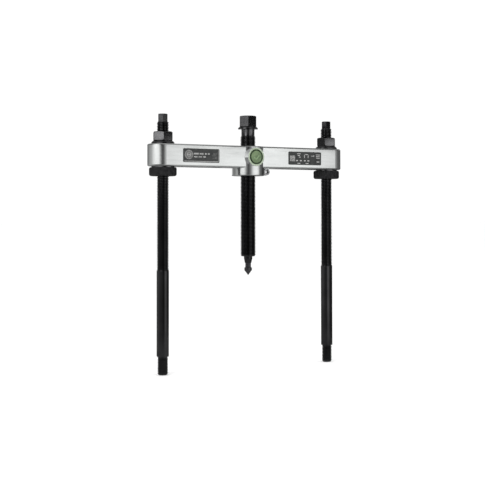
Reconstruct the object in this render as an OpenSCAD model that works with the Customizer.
// Two-rod gear puller: a slotted crossbeam with a central pressure screw and two pull rods.
// Units are millimetres. X runs along the crossbeam, +Z is up, and -Y is the badge side.
// The origin lies on the screw's axis, level with the bottom ends of the pull rods.

/* [Crossbeam] */
// Overall length of the crossbeam
beam_length = 295; // [220:1:400]
// Depth of the crossbeam from front to back
beam_depth = 35; // [28:0.5:50]
// Height of the crossbeam
beam_height = 29; // [20:0.5:45]
// Height of the underside above the rod ends
beam_bottom = 268; // [200:1:320]
// Rounding of the long edges
beam_edge_r = 2; // [1:0.25:4]
// Diameter of the central hub
hub_d = 44; // [38:0.5:60]
// Height of the hub's lower end above the rod ends
hub_bottom = 257.5; // [195:0.5:315]
// Rounding of the hub's rims
hub_edge_r = 1.2; // [0.5:0.1:3]
// Width of the two rod slots
slot_width = 17; // [15:0.25:22]
// Distance from the screw's axis to the inner slot centre
slot_inner = 50; // [46:1:80]

/* [Pressure screw] */
// Major diameter of the screw thread, G 1/2
screw_d = 20.955; // [16:0.005:26]
// Height where the thread stops at the lower end
screw_thread_bottom = 149.5; // [100:0.1:220]
// Height where the thread stops under the collar
screw_thread_top = 311.3; // [302:0.1:330]
// Diameter of the plain neck under the collar
screw_neck_d = 17.9; // [14:0.1:18]
// Collar diameter
screw_collar_d = 26.8; // [23:0.1:32]
// Underside of the collar
screw_collar_bottom = 320.3; // [305:0.1:335]
// Size of the hexagon head across its flats
screw_hex_af = 22; // [17:1:27]
// Underside of the hexagon head
screw_hex_bottom = 324; // [310:0.1:340]
// Top of the hexagon head
screw_top = 338.5; // [325:0.1:360]
// Lower end of the tapered nose
screw_nose_bottom = 140.6; // [90:0.1:215]

/* [Centring tip] */
// Diameter of the tip's head
tip_head_d = 10.2; // [8:0.1:14]
// Diameter of the tip's neck
tip_neck_d = 7.6; // [5:0.1:8]
// Height of the point above the rod ends
tip_bottom = 124.4; // [80:0.1:200]
// Diameter of the stem inside the nose
tip_stem_d = 4; // [3:0.1:5]

/* [Pull rods] */
// Distance between the two rod axes
rod_spacing = 254; // [120:1:260]
// Major diameter of the rod thread, M16
rod_d = 16; // [12:0.5:20]
// Diameter of the plain shank
rod_shank_d = 16; // [11:0.1:20]
// Diameter of the lower screw-in end, M14
rod_stub_d = 14; // [10:0.5:18]
// Length of the lower screw-in end
rod_stub_length = 23; // [14:0.5:35]
// Height where the long thread begins
rod_thread_bottom = 133.8; // [80:0.1:200]
// Height where the long thread ends
rod_thread_top = 326; // [320:0.1:345]
// Total length of one rod
rod_length = 336; // [330:0.5:360]
// Size of the drive end across its flats
rod_drive_af = 12; // [8:0.1:13]

/* [Nuts and washers] */
// Upper nut across its flats
nut_af = 24; // [19:1:30]
// Upper nut height
nut_height = 12; // [8:0.5:16]
// Diameter of the conical washer at its base
cone_washer_d = 30; // [26:0.1:36]
// Height of the conical washer
cone_washer_height = 4; // [2:0.1:8]
// Diameter of the round lower nut
round_nut_d = 36; // [30:0.1:40]
// Height of the round lower nut
round_nut_height = 11.2; // [8:0.1:16]
// Thickness of the flat lower washer
flat_washer_height = 1.4; // [0.8:0.1:3]
// Diameter of the flat lower washer
flat_washer_d = 30; // [26:0.5:34]

/* [Badge, labels and clamp screw] */
// Diameter of the badge boss
badge_boss_d = 24.8; // [20:0.1:28]
// Diameter of the badge boss where it leaves the beam
badge_boss_base_d = 31; // [26:0.5:34]
// Distance from the screw's axis to the boss face
badge_boss_face = 22.3; // [20:0.1:26]
// Outer diameter of the badge bezel
badge_bezel_d = 20.2; // [16:0.1:24]
// Diameter of the coloured badge disc
badge_disc_d = 17; // [12:0.1:20]
// Label length
label_length = 52.8; // [30:0.1:70]
// Label height
label_height = 18; // [10:0.1:24]
// Distance from the screw's axis to the middle of a label
label_offset = 80; // [60:1:100]
// Distance from the screw's axis to the clamp screw
clamp_offset = 23; // [22:0.1:28]
// Height of the clamp screw's axis
clamp_height = 263; // [200:0.1:320]
// Diameter of the clamp screw's head
clamp_head_d = 9.2; // [8:0.1:12]

/* [Node] */
// Which piece to draw, or all of them

/* [Hidden] */
$fn = 96;
fit_gap = 0.05;
beam_top = beam_bottom + beam_height;
beam_mid = beam_bottom + beam_height / 2;
end_r = beam_depth / 2;
end_x = beam_length / 2 - end_r;
rod_x = rod_spacing / 2;
front_y = -beam_depth / 2;
nut_bottom = beam_top + cone_washer_height;
nut_top = nut_bottom + nut_height;
washer_bottom = beam_bottom - flat_washer_height;
round_nut_bottom = washer_bottom - round_nut_height;
label_y = front_y - 0.5;
lug_face = -7.8;
clamp_bore_d = 6.2;
steel_bright = [0.80, 0.81, 0.82];
steel_black = [0.12, 0.12, 0.13];

// Half outline of a bar with rounded corners, from the axis out to radius r.
module half_outline(r, h, c) {
    square([r - c, h]);
    translate([0, c]) square([r, h - 2 * c]);
    translate([r - c, c]) circle(r = c);
    translate([r - c, h - c]) circle(r = c);
}

// Round disc or post with rounded rims.
module rounded_disc(r, h, c) {
    rotate_extrude() half_outline(r, h, c);
}

// Plain shaft with a chamfer at each end.
module shaft(d, z0, z1, c0, c1) {
    translate([0, 0, z0]) cylinder(d1 = d - 2 * c0, d2 = d, h = c0);
    translate([0, 0, z0 + c0]) cylinder(d = d, h = z1 - z0 - c0 - c1);
    translate([0, 0, z1 - c1]) cylinder(d1 = d, d2 = d - 2 * c1, h = c1);
}

// Hexagonal prism across flats af, turned by a, with corners turned off at both ends.
module hexagon(af, z0, z1, a, bottom_c, top_c) {
    corner = af / cos(30) / 2;
    intersection() {
        translate([0, 0, z0]) rotate([0, 0, a]) cylinder(r = corner, h = z1 - z0, $fn = 6);
        union() {
            translate([0, 0, z0]) cylinder(r1 = corner - 2 * bottom_c, r2 = corner + 0.01, h = bottom_c);
            translate([0, 0, z0 + bottom_c]) cylinder(r = corner + 0.01, h = z1 - z0 - bottom_c - top_c);
            translate([0, 0, z1 - top_c]) cylinder(r1 = corner + 0.01, r2 = corner - 2 * top_c, h = top_c);
        }
    }
}

// One rod slot, right through the beam.
module rod_slot(side) {
    translate([side * slot_inner, 0, beam_bottom - 1]) cylinder(d = slot_width, h = beam_height + 2);
    translate([side * end_x, 0, beam_bottom - 1]) cylinder(d = slot_width, h = beam_height + 2);
    x0 = min(side * slot_inner, side * end_x);
    translate([x0, -slot_width / 2, beam_bottom - 1])
        cube([end_x - slot_inner, slot_width, beam_height + 2]);
}

module beam_blank() {
    for (side = [-1, 1])
        translate([side * end_x, 0, beam_bottom]) rounded_disc(end_r, beam_height, beam_edge_r);
    translate([-end_x, 0, beam_bottom]) rotate([90, 0, 90]) linear_extrude(height = 2 * end_x) union() {
        half_outline(end_r, beam_height, beam_edge_r);
        mirror([1, 0]) half_outline(end_r, beam_height, beam_edge_r);
    }
    translate([0, 0, hub_bottom]) rounded_disc(hub_d / 2, beam_top - hub_bottom, hub_edge_r);
    badge_boss();
    clamp_lug();
}

// Boss with a sloping rim that carries the badge.
module badge_boss() {
    intersection() {
        translate([0, front_y + 0.5, beam_mid]) rotate([90, 0, 0])
            cylinder(d1 = badge_boss_base_d, d2 = badge_boss_d, h = badge_boss_face + front_y + 0.5);
        translate([-20, -30, beam_bottom + 0.6]) cube([40, 30, beam_height - 1.2]);
    }
}

// Lug beside the hub's lower end, which the clamp screw draws together.
module clamp_lug() {
    lug_r = 4.9;
    translate([clamp_offset, 0, clamp_height]) rotate([90, 0, 0])
        cylinder(r = lug_r, h = -2 * lug_face, center = true);
    translate([12, lug_face, clamp_height - lug_r])
        cube([clamp_offset - 12, -2 * lug_face, lug_r + beam_bottom - clamp_height + 1]);
    translate([clamp_offset - 1, lug_face, clamp_height])
        cube([1 + lug_r, -2 * lug_face, beam_bottom - clamp_height + 1]);
}

module crossbeam() {
    color(steel_bright) difference() {
        beam_blank();
        rod_slot(-1);
        rod_slot(1);
        translate([0, 0, hub_bottom - 1]) cylinder(d = screw_d + 2 * fit_gap, h = beam_top - hub_bottom + 2);
        translate([0, 0, hub_bottom - 0.01]) cylinder(d1 = screw_d + 3, d2 = screw_d - 1, h = 2);
        translate([0, 0, beam_top - 1.99]) cylinder(d1 = screw_d - 1, d2 = screw_d + 3, h = 2);
        clamp_cuts();
    }
}

// Slit through the lug and the hub's lower end, and the clamp screw's hole.
module clamp_cuts() {
    translate([screw_d / 2 - 2, -0.8, hub_bottom - 1]) cube([30, 1.6, beam_bottom - hub_bottom - 0.2]);
    translate([clamp_offset, 0, clamp_height]) rotate([90, 0, 0])
        cylinder(d = clamp_bore_d, h = 40, center = true);
    translate([clamp_offset, lug_face + 1.2, clamp_height]) rotate([90, 0, 0])
        cylinder(d = clamp_head_d + 0.4, h = 10);
}

// Socket head cap screw that draws the slit hub together.
module clamp_screw() {
    color([0.70, 0.71, 0.72]) translate([clamp_offset, 0, clamp_height]) rotate([90, 0, 0]) difference() {
        union() {
            translate([0, 0, -lug_face - 1.2]) cylinder(d = clamp_head_d, h = 4.4);
            translate([0, 0, -lug_face + 3.2]) cylinder(d1 = clamp_head_d, d2 = clamp_head_d - 1.2, h = 0.6);
            translate([0, 0, lug_face + 0.6]) cylinder(d = 6, h = -2 * lug_face - 1);
        }
        translate([0, 0, -lug_face + 1]) cylinder(d = 5 / cos(30), h = 4, $fn = 6);
    }
}

// Label plate on the front face, on one side of the hub.
module label_plate(side) {
    c = 1.5;
    translate([side * label_offset, front_y, beam_mid - 0.2]) rotate([90, 0, 0])
        linear_extrude(height = 0.5) {
            square([label_length - 2 * c, label_height], center = true);
            square([label_length, label_height - 2 * c], center = true);
            for (x = [-1, 1], y = [-1, 1])
                translate([x * (label_length / 2 - c), y * (label_height / 2 - c)]) circle(r = c);
        }
}

module label_left() {
    color([0.26, 0.27, 0.29]) label_plate(-1);
}

module label_right() {
    color([0.26, 0.27, 0.29]) label_plate(1);
}

// Ring around the badge disc, standing on the boss.
module badge_bezel() {
    color([0.14, 0.20, 0.12]) translate([0, -badge_boss_face, beam_mid]) rotate([90, 0, 0]) difference() {
        cylinder(d = badge_bezel_d, h = 0.6);
        translate([0, 0, -1]) cylinder(d = badge_disc_d + 0.1, h = 3);
    }
}

module badge_disc() {
    color([0.36, 0.52, 0.26]) translate([0, -badge_boss_face, beam_mid]) rotate([90, 0, 0]) {
        cylinder(d = badge_disc_d, h = 0.5);
        translate([0, 0, 0.5]) cylinder(d1 = badge_disc_d - 1, d2 = badge_disc_d - 2, h = 0.2);
    }
}

// Pressure screw: hexagon head, collar, neck, thread and tapered nose.
module pressure_screw() {
    color(steel_black) difference() {
        union() {
            hexagon(screw_hex_af, screw_hex_bottom, screw_top, 2, 0.01, 1.6);
            translate([0, 0, screw_collar_bottom])
                cylinder(d = screw_collar_d, h = 2);
            translate([0, 0, screw_collar_bottom + 2])
                cylinder(d1 = screw_collar_d, d2 = screw_hex_af, h = screw_hex_bottom - screw_collar_bottom - 2);
            translate([0, 0, screw_thread_top - 1])
                cylinder(d = screw_neck_d, h = screw_collar_bottom - screw_thread_top + 1.5);
            shaft(screw_d, screw_thread_bottom, screw_thread_top, 1.6, 1.6);
            translate([0, 0, screw_thread_bottom - 3]) cylinder(d = 11.4, h = 4);
            translate([0, 0, screw_nose_bottom]) cylinder(d1 = 9, d2 = 11.4, h = screw_thread_bottom - screw_nose_bottom - 3);
        }
        translate([0, 0, screw_nose_bottom - 1]) cylinder(d = tip_stem_d + 0.1, h = 9);
        translate([0, 0, screw_nose_bottom + 7.9]) cylinder(d1 = tip_stem_d + 0.1, d2 = 0.5, h = 2);
        translate([0, 0, screw_nose_bottom + 2.5]) cylinder(d = tip_stem_d + 1.4, h = 1.2);
    }
}

// Loose centring tip that stays still while the screw turns.
module centring_tip() {
    neck_bottom = screw_nose_bottom - 5.6;
    color([0.20, 0.20, 0.21]) difference() {
        union() {
            translate([0, 0, tip_bottom]) cylinder(d1 = 0.6, d2 = tip_head_d - 0.6, h = 6.1);
            translate([0, 0, tip_bottom + 6.1]) cylinder(d = tip_head_d, h = neck_bottom - tip_bottom - 7.1);
            translate([0, 0, neck_bottom - 1]) cylinder(d1 = tip_head_d, d2 = tip_neck_d, h = 1);
            translate([0, 0, neck_bottom]) cylinder(d = tip_neck_d, h = screw_nose_bottom - neck_bottom - 0.2);
            translate([0, 0, neck_bottom]) cylinder(d = tip_stem_d, h = screw_nose_bottom - neck_bottom + 5.2);
        }
        translate([0, 0, screw_nose_bottom + 2.6]) difference() {
            cylinder(d = tip_stem_d + 1, h = 1);
            translate([0, 0, -1]) cylinder(d = tip_stem_d - 1, h = 3);
        }
    }
}

// Hardened ball that carries the thrust between the screw and the tip.
module thrust_ball() {
    color([0.75, 0.76, 0.78]) translate([0, 0, screw_nose_bottom + 6.6]) sphere(d = 2.8);
}

// Wire ring that keeps the tip in the nose.
module tip_retainer() {
    color([0.60, 0.61, 0.63]) translate([0, 0, screw_nose_bottom + 3.1]) difference() {
        cylinder(d = tip_stem_d + 1.1, h = 0.7, center = true);
        cylinder(d = tip_stem_d - 0.9, h = 2, center = true);
        translate([0, -0.4, -1]) cube([4, 0.8, 2]);
    }
}

// Pull rod: threaded lower end, plain shank, long thread and hexagonal drive end.
module pull_rod(side) {
    color(steel_black) translate([side * rod_x, 0, 0]) {
        shaft(rod_stub_d, 0, rod_stub_length, 2, 0.5);
        translate([0, 0, rod_stub_length - 0.6]) cylinder(d = rod_stub_d - 2, h = 1);
        shaft(rod_shank_d, rod_stub_length, rod_thread_bottom + 0.8, 0.8, 0.3);
        shaft(rod_d, rod_thread_bottom, rod_thread_top, 1, 1.4);
        hexagon(rod_drive_af, rod_thread_top - 1, rod_length, -4 * side, 0.01, 0.8);
    }
}

module rod_left() {
    pull_rod(-1);
}

module rod_right() {
    pull_rod(1);
}

// Hexagon nut that carries one rod on top of the beam.
module upper_nut(side, a) {
    color(steel_black) translate([side * rod_x, 0, 0]) difference() {
        hexagon(nut_af, nut_bottom, nut_top, a, 0.4, 1.2);
        translate([0, 0, nut_bottom - 1]) cylinder(d = rod_d + 2 * fit_gap, h = nut_height + 2);
        translate([0, 0, nut_bottom - 0.01]) cylinder(d1 = rod_d + 1.6, d2 = rod_d, h = 0.8);
        translate([0, 0, nut_top - 0.79]) cylinder(d1 = rod_d, d2 = rod_d + 1.6, h = 0.8);
    }
}

module upper_nut_left() {
    upper_nut(-1, 9);
}

module upper_nut_right() {
    upper_nut(1, -10);
}

// Washer with a conical rim between the upper nut and the beam.
module cone_washer(side) {
    color(steel_black) translate([side * rod_x, 0, beam_top]) difference() {
        union() {
            cylinder(d = cone_washer_d, h = 1.8);
            translate([0, 0, 1.8]) cylinder(d1 = cone_washer_d, d2 = cone_washer_d - 4.4, h = cone_washer_height - 1.8);
        }
        translate([0, 0, -1]) cylinder(d = slot_width, h = cone_washer_height + 2);
    }
}

module cone_washer_left() {
    cone_washer(-1);
}

module cone_washer_right() {
    cone_washer(1);
}

// Flat washer between the round nut and the beam.
module flat_washer(side) {
    color(steel_black) translate([side * rod_x, 0, washer_bottom]) difference() {
        cylinder(d = flat_washer_d, h = flat_washer_height);
        translate([0, 0, -1]) cylinder(d = slot_width, h = flat_washer_height + 2);
    }
}

module flat_washer_left() {
    flat_washer(-1);
}

module flat_washer_right() {
    flat_washer(1);
}

// Round grip nut that locks one rod under the beam.
module round_nut(side) {
    color(steel_black) translate([side * rod_x, 0, round_nut_bottom]) difference() {
        union() {
            rotate_extrude() {
                square([round_nut_d / 2 - 2.2, round_nut_height]);
                translate([0, 2.2]) square([round_nut_d / 2, round_nut_height - 3.2]);
                translate([round_nut_d / 2 - 2.2, 2.2]) circle(r = 2.2);
                translate([round_nut_d / 2 - 2.3, round_nut_height - 2]) square([1.3, 2]);
                translate([round_nut_d / 2 - 1, round_nut_height - 1]) circle(r = 1);
            }
        }
        translate([0, 0, -1]) cylinder(d = rod_d + 2 * fit_gap, h = round_nut_height + 2);
        translate([0, 0, -0.01]) cylinder(d1 = rod_d + 1.6, d2 = rod_d, h = 0.8);
        translate([0, 0, round_nut_height - 0.79]) cylinder(d1 = rod_d, d2 = rod_d + 1.6, h = 0.8);
    }
}

module round_nut_left() {
    round_nut(-1);
}

module round_nut_right() {
    round_nut(1);
}

crossbeam();
clamp_screw();
label_left();
label_right();
badge_bezel();
badge_disc();
pressure_screw();
centring_tip();
thrust_ball();
tip_retainer();
rod_left();
rod_right();
upper_nut_left();
upper_nut_right();
cone_washer_left();
cone_washer_right();
flat_washer_left();
flat_washer_right();
round_nut_left();
round_nut_right();
